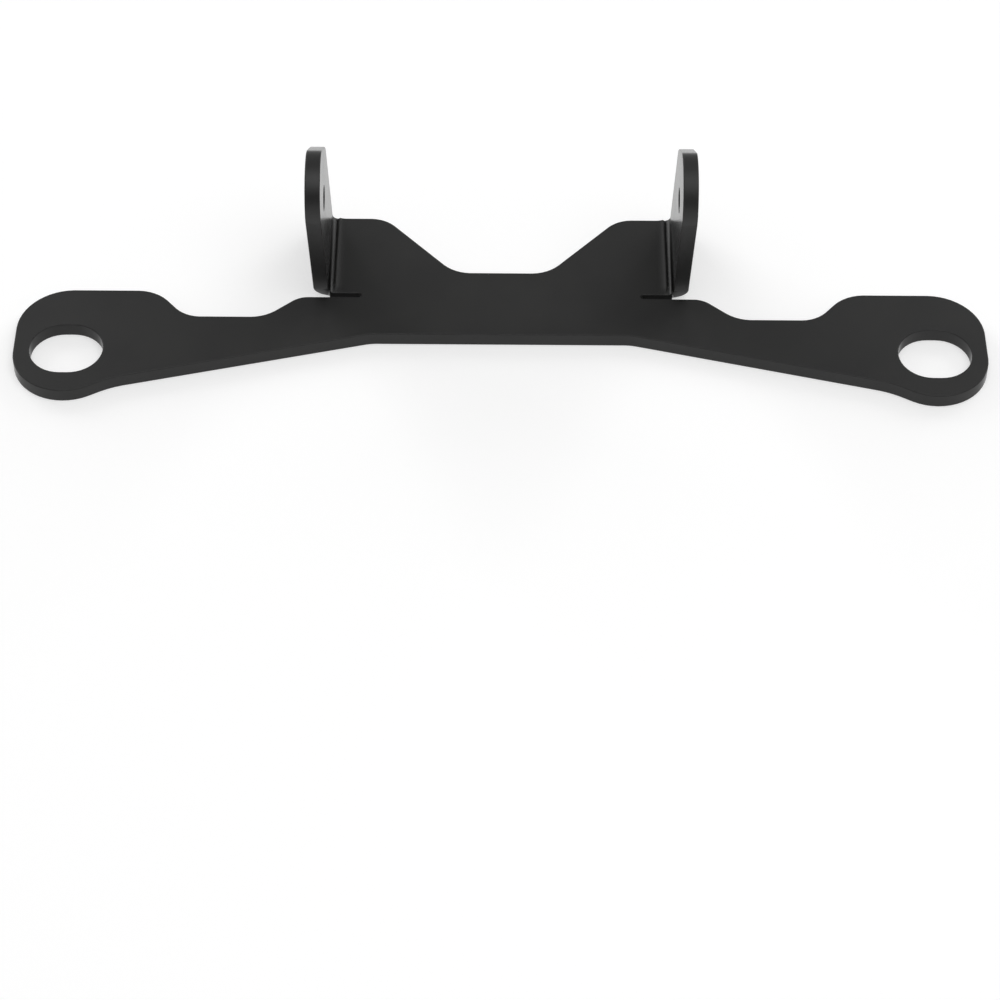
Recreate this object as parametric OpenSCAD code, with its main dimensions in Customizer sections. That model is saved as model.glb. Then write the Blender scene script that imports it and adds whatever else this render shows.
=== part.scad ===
// Headlight mounting bracket: one folded sheet that bolts across two fork tubes and holds a lamp on each ear.
// Origin: on the underside, midway between the fork slots. +X runs along the bracket, +Y to the shoulders,
// +Z up along the ears. All sizes in millimetres.

/* [Sheet] */

// Thickness of the sheet
sheet_thickness = 3; // [2:0.5:4]

/* [Fork slots] */

// Distance between the middles of the two fork slots
slot_spacing = 173; // [162:1:200]
// Width of a fork slot
slot_width = 13; // [9:0.5:15]
// Extra length of a fork slot, beyond a round hole, for forks of slightly different widths
slot_stretch = 1.6; // [0.4:0.2:4]

/* [End lobes] */

// Distance from a slot's middle out to the bracket's end
lobe_end = 10.5; // [10.2:0.1:12]
// Distance from a slot's middle in to a lobe's inner rear corner
lobe_inner = 16.8; // [14:0.1:18]
// Distance from the slots' line back to a lobe's rear edge
lobe_rear = 16.4; // [14:0.2:20]
// Distance from the slots' line forward to a lobe's front corner
lobe_front = 19; // [17:0.1:20]
// Run of the slope from the arm up to the lobe's rear corner
lobe_slope_run = 6.2; // [5:0.1:8]
// Rounding of a lobe's outer rear corner
lobe_rear_radius = 10.9; // [6:0.1:12]
// Rounding of a lobe's outer front corner
lobe_front_radius = 10.6; // [6:0.1:11]
// Rounding of a lobe's inner rear corner
lobe_inner_radius = 8.3; // [4:0.1:10]

/* [Arms] */

// Distance from the slots' line back to an arm's rear edge
arm_rear = 9.2; // [7:0.1:11]
// Distance from a slot's middle in to where an arm's front edge turns towards the lobe
arm_turn = 9.4; // [8.8:0.1:14]
// How far in front of the slots' line that turn lies
arm_front_drop = 8; // [6:0.1:10]
// Rounding of that turn
arm_front_radius = 20; // [8:1:24]
// Rounding of the hollow where an arm meets its lobe
arm_lobe_radius = 6.8; // [4:0.1:9]

/* [Wings] */

// How far the wing beside an ear reaches out past the ear
wing_reach = 2.8; // [2:0.1:5]
// Run of the slope from the wing down to the arm
wing_slope_run = 6.8; // [5:0.1:9]
// Rounding of the wing's corner
wing_corner_radius = 5; // [2:0.5:6]
// Rounding of the hollow where a wing meets its arm
wing_arm_radius = 8; // [4:0.5:10]

/* [Centre plate] */

// Distance from the slots' line back to the shoulders' rear edge
shoulder_rear = 37.9; // [35:0.1:42]
// Rounding of a shoulder's inner corner
shoulder_radius = 6.8; // [3:0.1:8]
// Distance from the slots' line back to the floor of the rear recess
recess_floor = 22.1; // [20:0.1:26]
// Width of the rear recess at its floor, between the sharp corners
recess_floor_width = 19; // [14:1:24]
// Width of the rear recess at its mouth, between the sharp corners
recess_mouth_width = 48; // [44:1:50]
// Rounding of the recess floor's corners
recess_radius = 7.7; // [4:0.1:9]
// Distance from the slots' line back to the straight middle of the front edge
front_rear = 4.5; // [2:0.1:6]
// Width of the straight middle of the front edge, between the sharp corners
front_width = 52; // [44:1:60]
// Rounding at the ends of the straight middle
front_radius = 11; // [4:0.5:14]

/* [Ears] */

// Distance between the facing sides of the two ears
ear_gap = 69.9; // [66:0.1:72]
// Inner radius of the fold at an ear's foot
fold_radius = 1.2; // [0.6:0.2:2]
// Angle by which an ear's front and rear edges lean forward from upright
ear_lean = 20.7; // [17:0.1:23]
// Height of an ear's rear corner above the bracket's underside
ear_rear_height = 33.1; // [30:0.1:36]
// Angle at which an ear's top edge rises from that corner to the front
ear_top_slope = 38.9; // [32:0.1:41]
// Rounding of an ear's rear corner
ear_rear_radius = 7.7; // [4:0.1:12]
// Rounding of an ear's front corner
ear_front_radius = 7.7; // [6:0.1:8.5]
// Height of an ear's bolt hole above the bracket's underside
ear_hole_height = 28.8; // [24:0.1:31]
// Distance from an ear's front edge back to its bolt hole, measured level
ear_hole_inset = 9.8; // [8:0.1:12]
// Diameter of an ear's bolt hole
ear_hole_diameter = 5.3; // [4.3:0.1:6.5]
// How far an ear's foot draws back from the slit below the ear's front edge
foot_setback = 2.1; // [0.5:0.1:4]
// Distance from an ear's facing side in to where the foot draws back
foot_step = 0.25; // [0.1:0.05:0.5]

/* [Relief slits] */

// Width of the slit between an ear's foot and the wing
slit_width = 1.1; // [0.8:0.1:1.6]
// Distance from the slots' line back to the ear side of the slit
slit_rear = 16; // [15:0.1:18]
// How far a slit reaches in from the start of the fold
slit_reach = 5.4; // [3:0.1:8]

/* [Press creases] */

// Width of the shallow crease that the press leaves along the start of a fold
crease_width = 0.6; // [0.5:0.05:1]
// Depth of the crease
crease_depth = 0.2; // [0.1:0.05:0.25]
// Distance from a slit to the front end of its crease
crease_front_gap = 2.6; // [1:0.1:6]
// Distance from a crease's rear end to the shoulder's rear edge
crease_rear_gap = 0.6; // [0.4:0.1:3]

/* [Hidden] */

$fn = 96;
// How far a corner's cutter reaches past the sharp corner
corner_overlap = 1;
// How far a rounding circle reaches past its edges, so that it crosses each at a clear point
arc_overlap = 0.004;

half_spacing = slot_spacing / 2;
half_length = half_spacing + lobe_end;
lobe_start = half_spacing - lobe_inner;
fold_x = ear_gap / 2 - fold_radius;
fold_z = sheet_thickness + fold_radius;
wing_rear = slit_rear - slit_width;
wing_corner = ear_gap / 2 + sheet_thickness + wing_reach;
ear_foot = shoulder_rear - slit_rear;
crease_radius = (pow(crease_width / 2, 2) + pow(crease_depth, 2)) / (2 * crease_depth);
crease_length = ear_foot - crease_front_gap - crease_rear_gap;

// How far back an ear's front and rear edges lie at a given height
function ear_front_at(z) = slit_rear - (z - fold_z) * tan(ear_lean);
function ear_rear_at(z) = ear_front_at(z) + ear_foot;

// Height at which the rising top edge meets the front edge
ear_front_height = ear_rear_height
    + ear_foot * tan(ear_top_slope) / (1 - tan(ear_top_slope) * tan(ear_lean));
// Corners of an ear seen from the side, each with y and z
ear_corners = [
    [slit_rear, fold_z],
    [shoulder_rear, fold_z],
    [ear_rear_at(ear_rear_height), ear_rear_height],
    [ear_front_at(ear_front_height), ear_front_height]
];

// Corners of the right half's plan, from the rear recess round to the front edge.
// Each has x, y and its rounding: positive for an outer corner, negative for an inner one.
half_plan = [
    [recess_floor_width / 2, recess_floor, -recess_radius],
    [recess_mouth_width / 2, shoulder_rear, shoulder_radius],
    [fold_x, shoulder_rear, 0],
    [fold_x, wing_rear, 0],
    [wing_corner, wing_rear, wing_corner_radius],
    [wing_corner + wing_slope_run, arm_rear, -wing_arm_radius],
    [lobe_start - lobe_slope_run, arm_rear, -arm_lobe_radius],
    [lobe_start, lobe_rear, lobe_inner_radius],
    [half_length, lobe_rear, lobe_rear_radius],
    [half_length, -lobe_front, lobe_front_radius],
    [half_spacing - arm_turn, -arm_front_drop, -arm_front_radius],
    [front_width / 2, front_rear, -front_radius]
];

corner_total = len(half_plan);
full_plan = [
    for (i = [0 : 2 * corner_total - 1])
        i < corner_total ? half_plan[i]
            : let (c = half_plan[2 * corner_total - 1 - i]) [-c[0], c[1], c[2]]
];

function plan_point(i) = let (c = full_plan[(i + 2 * corner_total) % (2 * corner_total)]) [c[0], c[1]];

// What lies between a sharp corner and the arc that rounds it, reaching a little past the corner
module corner_sliver(before, corner, after, radius) {
    to_before = (before - corner) / norm(before - corner);
    to_after = (after - corner) / norm(after - corner);
    inward = (to_before + to_after) / norm(to_before + to_after);
    half_angle = acos(to_before * to_after) / 2;
    reach = radius / tan(half_angle);
    middle = inward * radius / sin(half_angle);
    translate(corner)
        difference() {
            polygon([-inward * corner_overlap, to_before * reach, middle, to_after * reach]);
            translate(middle) circle(r = radius + arc_overlap);
        }
}

module corner_slivers(inner) {
    for (i = [0 : 2 * corner_total - 1]) {
        rounding = full_plan[i][2] * (inner ? -1 : 1);
        if (rounding > 0)
            corner_sliver(plan_point(i - 1), plan_point(i), plan_point(i + 1), rounding);
    }
}

// Slot with round ends, along X
module fork_slot() {
    for (side = [-1, 1])
        translate([side * slot_stretch / 2, 0]) circle(d = slot_width);
    square([slot_stretch, slot_width], center = true);
}

// Slit with a round inner end, open towards the fold
module relief_slit() {
    translate([fold_x - slit_reach + slit_width / 2, wing_rear]) {
        translate([0, slit_width / 2]) circle(d = slit_width);
        square([slit_reach, slit_width]);
    }
}

// Flat sheet with its slots and slits, seen from above
module flat_plan() {
    difference() {
        union() {
            polygon([for (c = full_plan) [c[0], c[1]]]);
            corner_slivers(inner = true);
        }
        corner_slivers(inner = false);
        for (side = [0, 1])
            mirror([side, 0]) {
                translate([half_spacing, 0]) fork_slot();
                relief_slit();
            }
    }
}

// Quarter turn of the sheet from flat to upright
module fold() {
    translate([fold_x, shoulder_rear, fold_z])
        rotate([90, 0, 0])
            rotate([0, 0, -90])
                rotate_extrude(angle = 90)
                    translate([fold_radius, 0]) square([sheet_thickness, ear_foot]);
}

// What is cut from the fold so that an ear's foot draws back from the slit
module foot_cut() {
    translate([ear_gap / 2 - foot_step, 0, 0])
        rotate([90, 0, 90])
            linear_extrude(height = fold_z)
                polygon([
                    [slit_rear, fold_z],
                    [slit_rear + foot_setback, 0],
                    [slit_rear - corner_overlap, 0],
                    [slit_rear - corner_overlap, fold_z]
                ]);
}

// Round-bottomed groove on top of the sheet where the fold starts
module press_crease() {
    translate([fold_x, shoulder_rear - crease_rear_gap, sheet_thickness + crease_radius - crease_depth])
        rotate([90, 0, 0])
            cylinder(r = crease_radius, h = crease_length);
}

// Upright tab that leans forward, with its two top corners rounded and its bolt hole, seen from the side
module ear_profile() {
    difference() {
        polygon(ear_corners);
        corner_sliver(ear_corners[1], ear_corners[2], ear_corners[3], ear_rear_radius);
        corner_sliver(ear_corners[2], ear_corners[3], ear_corners[0], ear_front_radius);
        translate([ear_front_at(ear_hole_height) + ear_hole_inset, ear_hole_height])
            circle(d = ear_hole_diameter);
    }
}

module ear() {
    translate([ear_gap / 2, 0, 0])
        rotate([90, 0, 90])
            linear_extrude(height = sheet_thickness) ear_profile();
}

module bracket() {
    color([0.05, 0.05, 0.05]) {
        difference() {
            union() {
                linear_extrude(height = sheet_thickness) flat_plan();
                for (side = [0, 1])
                    mirror([side, 0, 0]) {
                        difference() {
                            fold();
                            foot_cut();
                        }
                        ear();
                    }
            }
            for (side = [0, 1])
                mirror([side, 0, 0]) press_crease();
        }
    }
}

bracket();
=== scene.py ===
import math
import bpy
import bmesh
from mathutils import Matrix, Vector


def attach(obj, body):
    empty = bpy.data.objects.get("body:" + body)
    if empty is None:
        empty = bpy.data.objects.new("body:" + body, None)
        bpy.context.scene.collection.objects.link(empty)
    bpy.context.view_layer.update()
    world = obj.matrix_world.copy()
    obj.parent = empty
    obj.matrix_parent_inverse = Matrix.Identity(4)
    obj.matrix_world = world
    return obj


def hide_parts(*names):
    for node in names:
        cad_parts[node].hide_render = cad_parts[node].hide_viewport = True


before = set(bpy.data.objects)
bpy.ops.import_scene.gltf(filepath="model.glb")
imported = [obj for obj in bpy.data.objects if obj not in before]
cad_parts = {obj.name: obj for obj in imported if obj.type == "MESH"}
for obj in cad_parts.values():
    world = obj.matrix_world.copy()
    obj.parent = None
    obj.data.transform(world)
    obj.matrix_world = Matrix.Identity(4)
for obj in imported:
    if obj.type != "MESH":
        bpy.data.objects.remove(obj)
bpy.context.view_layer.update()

scene = bpy.context.scene
scene.view_settings.view_transform = "Standard"

white = (1.0, 1.0, 1.0, 1.0)


def srgb(text):
    # hex colour as a colour picker shows it, to the linear values that shaders use
    values = [int(text[i:i + 2], 16) / 255 for i in (1, 3, 5)]
    linear = [v / 12.92 if v <= 0.04045 else ((v + 0.055) / 1.055) ** 2.4 for v in values]
    return (*linear, 1.0)


def addNode(tree, kind, settings=None, links=None):
    # one node with its settings and what feeds its sockets
    node = tree.nodes.new(kind)
    for key, value in (settings or {}).items():
        if isinstance(key, str) and hasattr(node, key):
            setattr(node, key, value)
        else:
            node.inputs[key].default_value = value
    for socket, source in (links or {}).items():
        tree.links.new(source, node.inputs[socket])
    return node


def newMaterial(name):
    material = bpy.data.materials.new(name)
    material.use_nodes = True
    material.node_tree.nodes.clear()
    return material


coatLook = {
    "thinColour": "#181817",
    "thickColour": "#131313",
    "thickToThin": (0.35, 0.65),  # patch noise where the film is thick, and where it is thin
    "roughness": 0.52,
    "lowAngleRoughness": 0.24,
    "sharpening": (0.6, 0.96),  # slants between which the sheen sharpens; 1 is edge on
    "roughnessSpread": 0.08,
    "spreadNoise": (0.3, 0.7),  # patch noise where the coat is smoothest, and roughest
    "ior": 1.5,
    "peelHeight": 0.000009,
    "grainHeight": 0.000001,
    # width of one spot, detail and roughness of its noise
    "noises": {
        "patches": (0.014, 3.0, 0.55),
        "peel": (0.0016, 2.0, 0.45),  # orange peel on such a coat is 1 to 3 mm across
        "grain": (0.0003, 1.0, 0.5),  # the powder's own grain is a tenth of this, too fine to show
    },
}


def powderCoat(look):
    # polyester powder, sprayed on steel sheet and baked to a closed film. The eye gets a soft
    # satin sheen that sharpens at low angles, a faint orange peel, and patches where the film
    # is thicker and blacker
    material = newMaterial("satin_black_powder_coat")
    tree = material.node_tree
    place = addNode(tree, "ShaderNodeTexCoord")
    noises = {}
    for name, (width, detail, roughness) in look["noises"].items():
        noise = addNode(tree, "ShaderNodeTexNoise",
                        {"Scale": 1 / width, "Detail": detail, "Roughness": roughness},
                        {"Vector": place.outputs["Object"]})
        noises[name] = noise.outputs["Fac"]
    film = addNode(tree, "ShaderNodeValToRGB", None, {"Fac": noises["patches"]})
    thick, thin = film.color_ramp.elements
    thick.position, thin.position = look["thickToThin"]
    thick.color, thin.color = srgb(look["thickColour"]), srgb(look["thinColour"])
    peelBump = addNode(tree, "ShaderNodeBump", {"Strength": 1.0, "Distance": look["peelHeight"]},
                       {"Height": noises["peel"]})
    grainBump = addNode(tree, "ShaderNodeBump", {"Strength": 1.0, "Distance": look["grainHeight"]},
                        {"Height": noises["grain"], "Normal": peelBump.outputs["Normal"]})
    angle = addNode(tree, "ShaderNodeLayerWeight", {"Blend": 0.5})
    begins, ends = look["sharpening"]
    gloss = addNode(tree, "ShaderNodeMapRange",
                    {"interpolation_type": "SMOOTHSTEP", "From Min": begins, "From Max": ends,
                     "To Min": look["roughness"], "To Max": look["lowAngleRoughness"]},
                    {"Value": angle.outputs["Facing"]})
    least, most = look["spreadNoise"]
    spread = addNode(tree, "ShaderNodeMapRange",
                     {"From Min": least, "From Max": most,
                      "To Min": 1.0 - look["roughnessSpread"],
                      "To Max": 1.0 + look["roughnessSpread"]},
                     {"Value": noises["patches"]})
    sheen = addNode(tree, "ShaderNodeMath", {"operation": "MULTIPLY"},
                    {0: gloss.outputs["Result"], 1: spread.outputs["Result"]})
    coat = addNode(tree, "ShaderNodeBsdfPrincipled", {"IOR": look["ior"], "Metallic": 0.0},
                   {"Base Color": film.outputs["Color"], "Roughness": sheen.outputs["Value"],
                    "Normal": grainBump.outputs["Normal"]})
    addNode(tree, "ShaderNodeOutputMaterial", None, {"Surface": coat.outputs["BSDF"]})
    return material


bracketLook = {
    "mergeDistance": 0.000005,
    "flatAngle": 0.5,  # degrees; faces that meet flatter than this become one
    "sharpAngle": 35,  # degrees; edges sharper than this are rounded
    "edgeRadius": 0.0002,
    "edgeSegments": 3,
    "flatWeight": 50,  # how much the large faces rule the shading
    # small spots whose edges stay crisp, on both halves: lowest and highest x, y and z
    "crispSpots": {
        "press_crease": ((0.03325, 0.03425), (0.0183, 0.0376), (0.0025, 0.0032)),
        "foot_step": ((0.0345, 0.0349), (0.0155, 0.0186), (-0.001, 0.005)),
        "lamp_bore": ((0.0349, 0.038), (0.0137, 0.0193), (0.026, 0.0316)),
    },
    # metal that the press pushed up beside each crease, on both halves
    "lip": {
        "start": 0.03185,  # x where the sheet's upper side begins to rise
        "edge": 0.03345,  # x of the crease's near edge
        "bottom": 0.03375,  # x of the middle of the crease
        "height": 0.00034,
        "lean": 0.00018,  # how far the lip is pushed over the crease
        "curve": 2.5,  # power that the rise follows
        "rows": 8,
        "front": (0.0163, 0.0181),  # y where the lip begins, and where it is full
        "frontCuts": (0.5, 0.75, 1.0),  # shares of that stretch at which the rows are cut
        "top": (0.0024, 0.003),  # z where points begin to move, and where they move fully
        "upward": 0.5,  # least z of the normal of a face on the upper side
        "margin": 0.00001,  # slack in picking the faces between start and bottom
        "cutTolerance": 0.000001,  # a point nearer than this lies on the cut
    },
}


def partWay(value, low, high):
    # 0 at low, 1 at high, and held there beyond them
    return min(max((value - low) / (high - low), 0.0), 1.0)


def eased(part):
    # level at 0 and at 1
    return part * part * (3.0 - 2.0 * part)


def touchesSpot(edge, spot):
    for v in edge.verts:
        place = (abs(v.co.x), v.co.y, v.co.z)
        if all(low < value < high for value, (low, high) in zip(place, spot)):
            return True
    return False


def raiseLips(mesh, lip):
    # cuts rows of faces beside each crease, then lets them rise towards it and drop into it
    start, edge, bottom = lip["start"], lip["edge"], lip["bottom"]
    for row in range(lip["rows"]):
        place = start + (edge - start) * row / lip["rows"]
        for side in (-1, 1):
            bmesh.ops.bisect_plane(mesh, geom=mesh.verts[:] + mesh.edges[:] + mesh.faces[:],
                                   dist=lip["cutTolerance"], plane_co=(side * place, 0.0, 0.0),
                                   plane_no=(1.0, 0.0, 0.0))
    begin, full = lip["front"]
    for cut in lip["frontCuts"]:
        near = [f for f in mesh.faces if f.normal.z > lip["upward"]
                and all(start - lip["margin"] < abs(v.co.x) < bottom for v in f.verts)]
        around = dict.fromkeys(part for f in near for part in (*f.edges, *f.verts))
        bmesh.ops.bisect_plane(mesh, geom=near + list(around), dist=lip["cutTolerance"],
                               plane_co=(0.0, begin + (full - begin) * cut, 0.0),
                               plane_no=(0.0, 1.0, 0.0))
    for v in mesh.verts:
        rise = partWay(abs(v.co.x), start, edge)
        share = 1.0 - partWay(abs(v.co.x), edge, bottom)
        for part in (partWay(v.co.y, begin, full), partWay(v.co.z, *lip["top"])):
            share *= eased(part)
        v.co.z += lip["height"] * rise ** lip["curve"] * share
        v.co.x += math.copysign(lip["lean"] * rise * share, v.co.x)


def softBracket(look):
    # merged copy of the CAD solid whose edges are rounded, as the baked film rounds them
    mesh = bmesh.new()
    mesh.from_mesh(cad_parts["bracket"].data)
    bmesh.ops.remove_doubles(mesh, verts=mesh.verts, dist=look["mergeDistance"])
    bmesh.ops.dissolve_limit(mesh, angle_limit=math.radians(look["flatAngle"]),
                             use_dissolve_boundaries=False, verts=mesh.verts, edges=mesh.edges,
                             delimit=set())
    limit = math.radians(look["sharpAngle"])
    sharp = [e for e in mesh.edges if e.calc_face_angle(0) > limit
             and not any(touchesSpot(e, spot) for spot in look["crispSpots"].values())]
    bmesh.ops.bevel(mesh, geom=sharp, offset=look["edgeRadius"], offset_type="OFFSET",
                    segments=look["edgeSegments"], profile=0.5, affect="EDGES", material=-1,
                    clamp_overlap=False)
    raiseLips(mesh, look["lip"])
    for face in mesh.faces:
        face.smooth = True
    data = bpy.data.meshes.new("soft_bracket")
    mesh.to_mesh(data)
    mesh.free()
    piece = bpy.data.objects.new("soft_bracket", data)
    scene.collection.objects.link(piece)
    shading = piece.modifiers.new("flat_faces_stay_flat", "WEIGHTED_NORMAL")
    shading.mode = "FACE_AREA"
    shading.weight = look["flatWeight"]
    return piece


coat = powderCoat(coatLook)
bracket = softBracket(bracketLook)
bracket.data.materials.append(coat)
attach(bracket, "root")
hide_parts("bracket")
print("bracket:", len(bracket.data.polygons), "faces")


stageLook = {
    "paperColour": "#d2d2d2",
    "paperSize": 6.0,
    "gap": 0.00002,  # so that paper and bracket never share a plane
    "paperLift": 0.45,
    "airLevel": 0.33,
    "cameraSideLevel": 0.03,
    "cameraSide": (-1.0, -0.7),  # y of a direction where the air is dim, and where it is full
}


def photoRay(tree):
    # 1 for rays that show the background: straight to the camera, mirrored, or through glass
    path = addNode(tree, "ShaderNodeLightPath")
    mirrored = addNode(tree, "ShaderNodeMath", {"operation": "MAXIMUM"},
                       {0: path.outputs["Is Camera Ray"], 1: path.outputs["Is Glossy Ray"]})
    seen = addNode(tree, "ShaderNodeMath", {"operation": "MAXIMUM"},
                   {0: mirrored.outputs["Value"], 1: path.outputs["Is Transmission Ray"]})
    return seen.outputs["Value"]


def studioFloor(look):
    # pale matt paper; the lift takes it to white in the picture and leaves the shadow on it
    mesh = bmesh.new()
    bmesh.ops.create_grid(mesh, x_segments=1, y_segments=1, size=look["paperSize"] / 2)
    bmesh.ops.translate(mesh, verts=mesh.verts, vec=(0.0, 0.0, -look["gap"]))
    data = bpy.data.meshes.new("studio_floor")
    mesh.to_mesh(data)
    mesh.free()
    floor = bpy.data.objects.new("studio_floor", data)
    scene.collection.objects.link(floor)
    material = newMaterial("white_paper")
    tree = material.node_tree
    paper = addNode(tree, "ShaderNodeBsdfDiffuse", {"Color": srgb(look["paperColour"])})
    lift = addNode(tree, "ShaderNodeMath", {"operation": "MULTIPLY", 1: look["paperLift"]},
                   {0: photoRay(tree)})
    glow = addNode(tree, "ShaderNodeEmission", {"Color": white},
                   {"Strength": lift.outputs["Value"]})
    both = addNode(tree, "ShaderNodeAddShader", None,
                   {0: paper.outputs["BSDF"], 1: glow.outputs["Emission"]})
    addNode(tree, "ShaderNodeOutputMaterial", None, {"Surface": both.outputs["Shader"]})
    data.materials.append(material)


def studioAir(look):
    # pale room that is dim low down on the camera's side
    world = bpy.data.worlds.new("studio_air")
    world.use_nodes = True
    tree = world.node_tree
    tree.nodes.clear()
    place = addNode(tree, "ShaderNodeTexCoord")
    parts = addNode(tree, "ShaderNodeSeparateXYZ", None, {0: place.outputs["Generated"]})
    dim, full = look["cameraSide"]
    level = addNode(tree, "ShaderNodeMapRange",
                    {"interpolation_type": "SMOOTHSTEP", "From Min": dim, "From Max": full,
                     "To Min": look["cameraSideLevel"], "To Max": look["airLevel"]},
                    {"Value": parts.outputs["Y"]})
    air = addNode(tree, "ShaderNodeBackground", {"Color": white},
                  {"Strength": level.outputs["Result"]})
    addNode(tree, "ShaderNodeOutputWorld", None, {"Surface": air.outputs["Background"]})
    scene.world = world


lampLook = {
    # name: place, what it points at, width, strength for its area
    "ceiling_panel": ((0.12, -0.3, 1.0), (0.0, 0.0, 0.0), 0.9, 2.0),
    "left_panel": ((-0.8, 0.8, 0.38), (0.0, 0.0, 0.0), 0.7, 3.4),
    "right_panel": ((0.8, 0.8, 0.38), (0.0, 0.0, 0.0), 0.7, 2.7),
}


def softLamp(name, place, target, width, strength):
    light = bpy.data.lights.new(name, "AREA")
    light.shape = "SQUARE"
    light.size = width
    light.energy = strength * math.pi * width * width
    lamp = bpy.data.objects.new(name, light)
    scene.collection.objects.link(lamp)
    lamp.location = place
    lamp.rotation_euler = (Vector(target) - Vector(place)).to_track_quat("-Z", "Y").to_euler()


studioFloor(stageLook)
studioAir(stageLook)
for name, values in lampLook.items():
    softLamp(name, *values)
print("studio: floor, air and lamps")


cameraLook = {
    "target": (0.0, 0.00344, 0.0),
    "distance": 0.6414,
    "azimuth": 0.0,
    "elevation": 46.0,
    "roll": 0.38,
    "lens": 115.2,
    "sensorWidth": 36.0,
    "shift": (-0.0006, -0.1511),
    "clip": (0.05, 20.0),
}


def photoCamera(look):
    view = bpy.data.cameras.new("photo_camera")
    view.sensor_width = look["sensorWidth"]
    view.lens = look["lens"]
    view.shift_x, view.shift_y = look["shift"]
    view.clip_start, view.clip_end = look["clip"]
    camera = bpy.data.objects.new("photo_camera", view)
    scene.collection.objects.link(camera)
    turn = Matrix.Rotation(math.radians(look["azimuth"]), 3, "Z")
    tilt = Matrix.Rotation(math.radians(90.0 - look["elevation"]), 3, "X")
    roll = Matrix.Rotation(math.radians(look["roll"]), 3, "Z")
    camera.rotation_euler = (turn @ tilt @ roll).to_euler()
    camera.location = Vector(look["target"]) + turn @ tilt @ Vector((0.0, 0.0, look["distance"]))
    return camera


scene.camera = photoCamera(cameraLook)
print("camera: set to the photo's angle")
